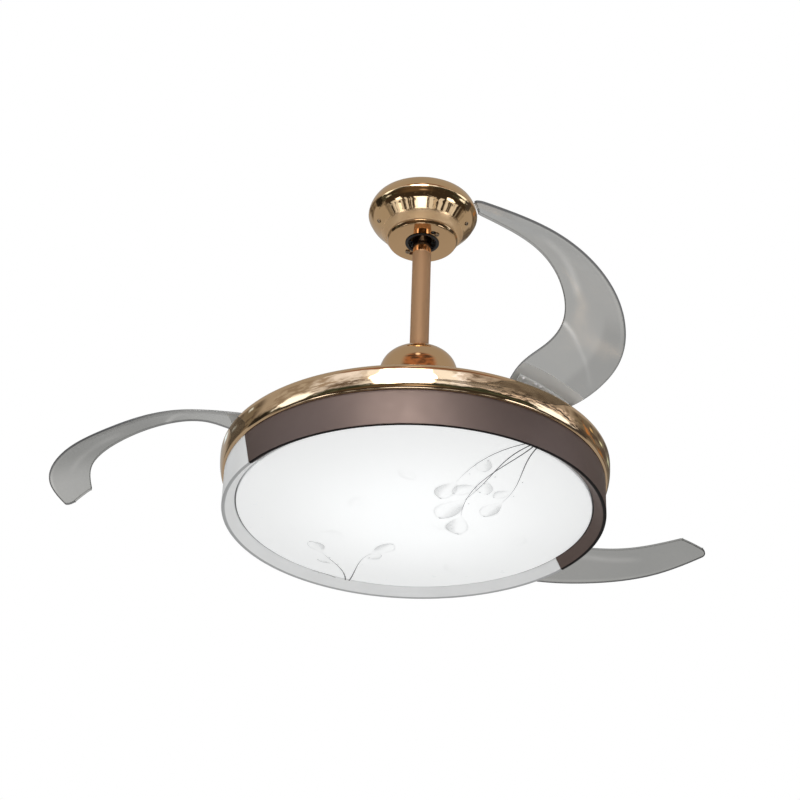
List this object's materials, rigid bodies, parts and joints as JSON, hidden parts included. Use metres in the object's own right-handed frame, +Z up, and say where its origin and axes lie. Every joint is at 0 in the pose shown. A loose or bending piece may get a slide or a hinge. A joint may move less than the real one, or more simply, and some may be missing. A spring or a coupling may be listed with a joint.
{
  "type": "ceiling fan",
  "caption": "Ceiling fan with a lamp: mirror canopy and downrod, round body with a gold rim, printed diffuser, and swept see-through blades that fold in over the body.",
  "frame": {"origin": "centre of the ceiling plate's top face, where it meets the ceiling", "axes": "+Z up along the downrod, into the ceiling; +Y away from the side the picture is taken from; +X to the picture's right"},
  "size_m": [0.9416, 0.9316, 0.505],
  "materials": {
    "champagne_gold": "polished champagne-gold plating",
    "rose_gold": "smooth rose-gold lacquer on steel tube",
    "taupe_paint": "satin brown-grey paint",
    "white_paint": "satin white paint",
    "opal_acrylic": "opal, printed with grey flowers",
    "smoke_acrylic": "see-through smoke grey, polished",
    "zinc_steel": "bright zinc plate",
    "bright_aluminium": "spun sheet",
    "black_aluminium": "black satin coat on spun sheet",
    "blackened_steel": "black satin coat",
    "satin_alloy": "die cast, grey satin finish",
    "electrical_steel": "stacked sheet steel, varnished",
    "cast_aluminium": "die cast, fine grain",
    "black_plastic": "moulded",
    "cable_sheath": "flexible sheath over copper cores",
    "nylon": "natural nylon",
    "rubber": "black",
    "enamelled_copper": "enamelled copper wire",
    "ferrite": "sintered magnet",
    "board_white": "white solder mask and white case"
  },
  "bodies": {
    "ceiling": {"ceiling_plate": "zinc_steel", "hanger_yoke": "zinc_steel", "yoke_bolt_1": "zinc_steel", "yoke_bolt_2": "zinc_steel", "terminal_block": "nylon", "canopy": "champagne_gold", "canopy_side_screw_1": "zinc_steel", "canopy_side_screw_2": "zinc_steel", "canopy_cap": "champagne_gold", "cap_screw_1": "zinc_steel", "cap_screw_2": "zinc_steel", "cap_grommet": "rubber"},
    "liner": {"ball_liner": "nylon"},
    "pendant": {"hanger_ball": "zinc_steel", "ball_pin": "zinc_steel", "downrod": "rose_gold", "coupling_yoke": "blackened_steel", "coupling_pin": "zinc_steel", "coupling_cover": "champagne_gold", "motor_shaft": "zinc_steel", "stator_core": "electrical_steel", "winding_top": "enamelled_copper", "winding_bottom": "enamelled_copper", "bearing_top": "zinc_steel", "bearing_bottom": "zinc_steel", "lamp_pan": "bright_aluminium", "shaft_nut": "zinc_steel", "led_board": "board_white", "led_driver": "board_white", "receiver_box": "black_plastic", "lead_cable": "cable_sheath", "ring_half_dark": "taupe_paint", "ring_half_light": "white_paint", "diffuser": "opal_acrylic"},
    "rotor": {"rotor_cover_bottom": "cast_aluminium", "rotor_cover_top": "cast_aluminium", "magnet_ring": "ferrite", "rim_ring": "champagne_gold", "blade_tray": "black_aluminium", "pivot_bolt_1": "zinc_steel", "pivot_bolt_2": "zinc_steel", "pivot_bolt_3": "zinc_steel", "return_spring_1": "zinc_steel", "return_spring_2": "zinc_steel", "return_spring_3": "zinc_steel"},
    "sync": {"sync_gear": "nylon"},
    "wing_1": {"blade_1": "smoke_acrylic", "blade_arm_1": "satin_alloy", "blade_gear_1": "nylon", "blade_clamp_1": "zinc_steel"},
    "wing_2": {"blade_2": "smoke_acrylic", "blade_arm_2": "satin_alloy", "blade_gear_2": "nylon", "blade_clamp_2": "zinc_steel"},
    "wing_3": {"blade_3": "smoke_acrylic", "blade_arm_3": "satin_alloy", "blade_gear_3": "nylon", "blade_clamp_3": "zinc_steel"}
  },
  "joints": [
    {"name": "swing_x", "type": "hinge", "parent": "ceiling", "child": "liner", "pos_m": [0, 0, -0.03], "axis": [1, 0, 0], "range_deg": [-6, 6]},
    {"name": "swing_y", "type": "hinge", "parent": "liner", "child": "pendant", "pos_m": [0, 0, -0.03], "axis": [0, 1, 0], "range_deg": [-6, 6]},
    {"name": "rotor_spin", "type": "hinge", "parent": "pendant", "child": "rotor", "pos_m": [0, 0, -0.405], "axis": [0, 0, 1], "continuous": true},
    {"name": "fold_1", "type": "hinge", "parent": "rotor", "child": "wing_1", "pos_m": [-0.18339, -0.04572, -0.405], "axis": [0, 0, -1], "range_deg": [0, 102]},
    {"name": "fold_2", "type": "hinge", "parent": "rotor", "child": "wing_2", "pos_m": [0.0521, 0.18168, -0.405], "axis": [0, 0, -1], "range_deg": [0, 102]},
    {"name": "fold_3", "type": "hinge", "parent": "rotor", "child": "wing_3", "pos_m": [0.13129, -0.13595, -0.405], "axis": [0, 0, -1], "range_deg": [0, 102]},
    {"name": "sync_turn", "type": "hinge", "parent": "rotor", "child": "sync", "pos_m": [0, 0, -0.4245], "axis": [0, 0, 1], "range_deg": [0, 28]}
  ],
  "couplings": [
    {"joint": "fold_2", "follows": "fold_1", "ratio": 1},
    {"joint": "fold_3", "follows": "fold_1", "ratio": 1},
    {"joint": "sync_turn", "follows": "fold_1", "ratio": 0.27273}
  ]
}
